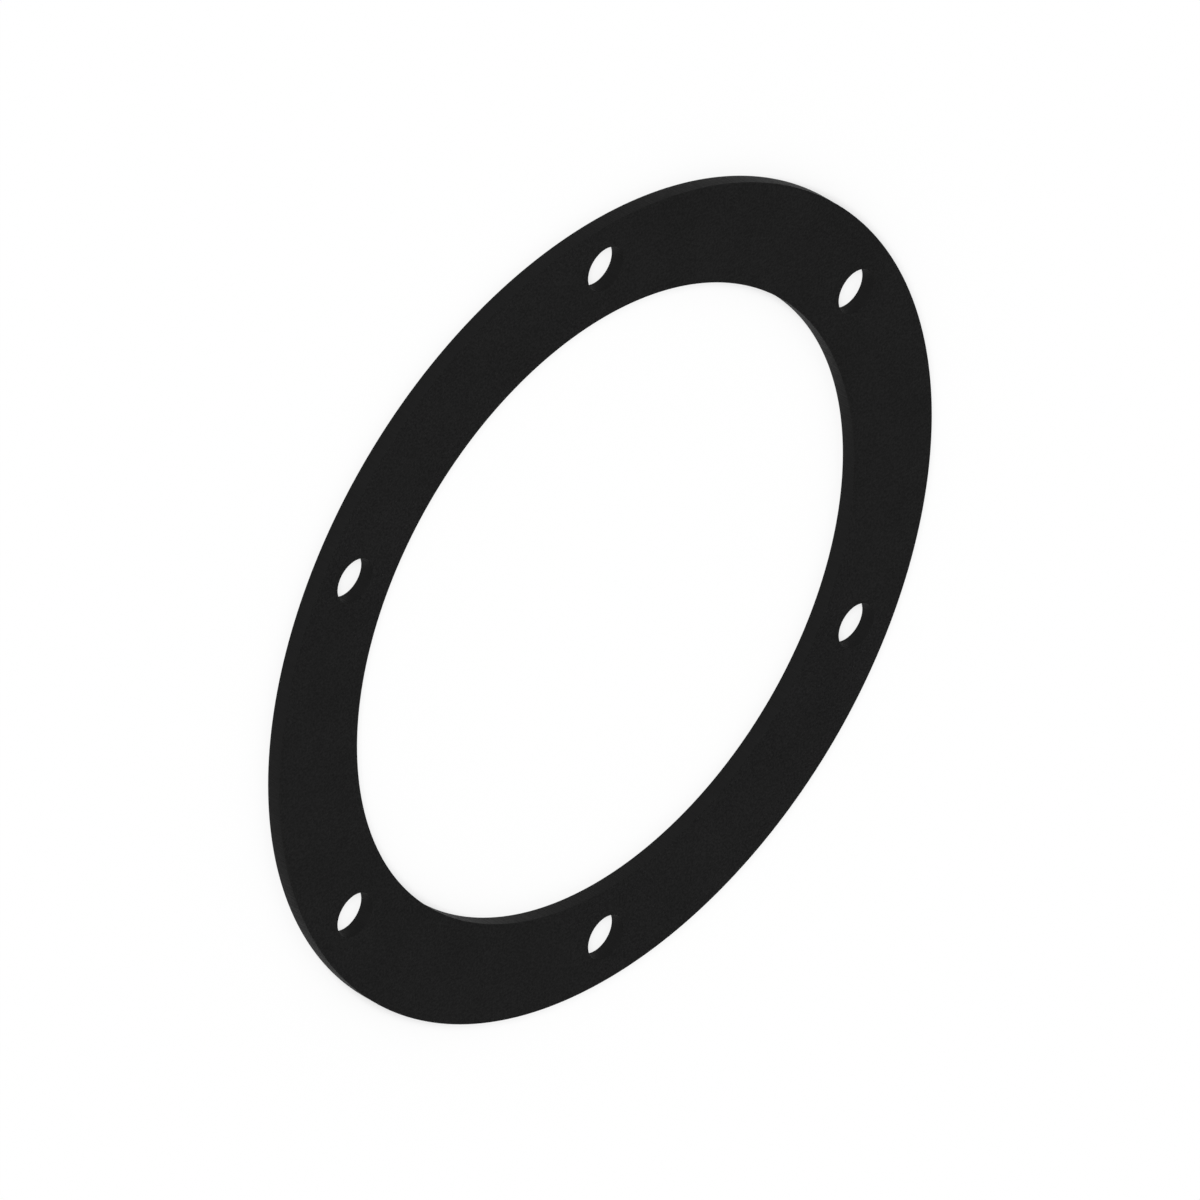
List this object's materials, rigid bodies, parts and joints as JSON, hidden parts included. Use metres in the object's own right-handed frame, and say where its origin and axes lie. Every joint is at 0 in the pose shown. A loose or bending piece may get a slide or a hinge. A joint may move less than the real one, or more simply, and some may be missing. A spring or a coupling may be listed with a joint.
{
  "type": "fuel tank gasket",
  "caption": "Flat black rubber ring with a wide round opening and evenly spaced bolt holes, which seals a bolted round cover on a fuel tank.",
  "frame": {"origin": "middle of the opening, on the gasket's underside", "axes": "+Z square to the sheet and along the cover bolts, +Y from the middle to the first bolt hole"},
  "size_m": [0.168, 0.168, 0.003],
  "materials": {
    "rubber": "matte"
  },
  "bodies": {
    "root": {"gasket": "rubber"}
  },
  "joints": []
}
